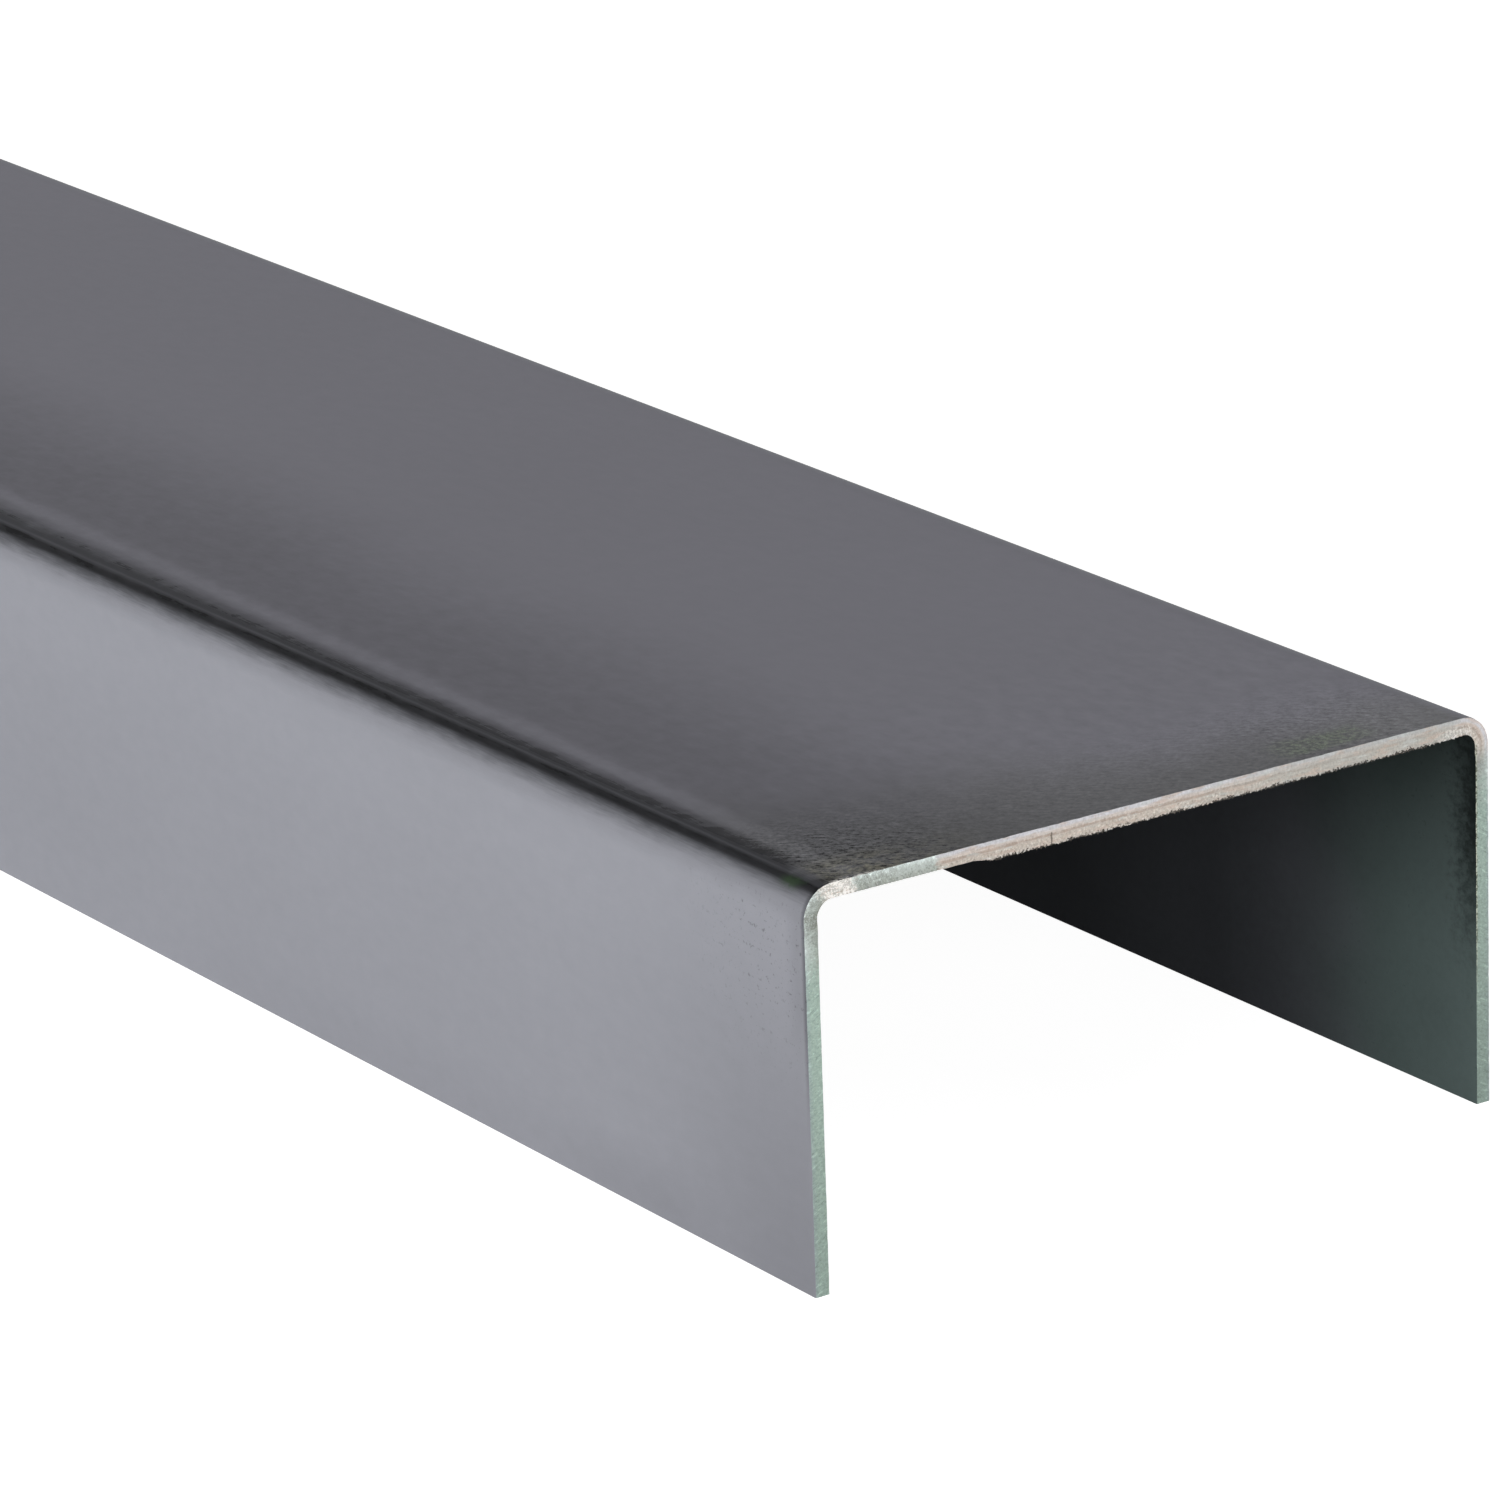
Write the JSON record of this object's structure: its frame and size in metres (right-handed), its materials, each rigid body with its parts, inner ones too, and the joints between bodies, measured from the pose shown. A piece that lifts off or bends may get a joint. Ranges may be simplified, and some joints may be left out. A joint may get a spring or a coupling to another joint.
{
  "type": "channel section",
  "caption": "Cold-formed steel U-channel: one bent strip with a flat web and two flanges, cut square, for framing, edging and cable or rail runs.",
  "frame": {"origin": "on the floor plane under the middle of the web, halfway along the length", "axes": "+X along the length, +Y across the web, +Z from the toes of the flanges up to the web"},
  "size_m": [1, 0.1, 0.05],
  "materials": {
    "bare_steel": "bare oiled mill finish, dark grey, smooth with a soft sheen; cut ends pale with a burr"
  },
  "bodies": {
    "root": {"channel": "bare_steel"}
  },
  "joints": []
}
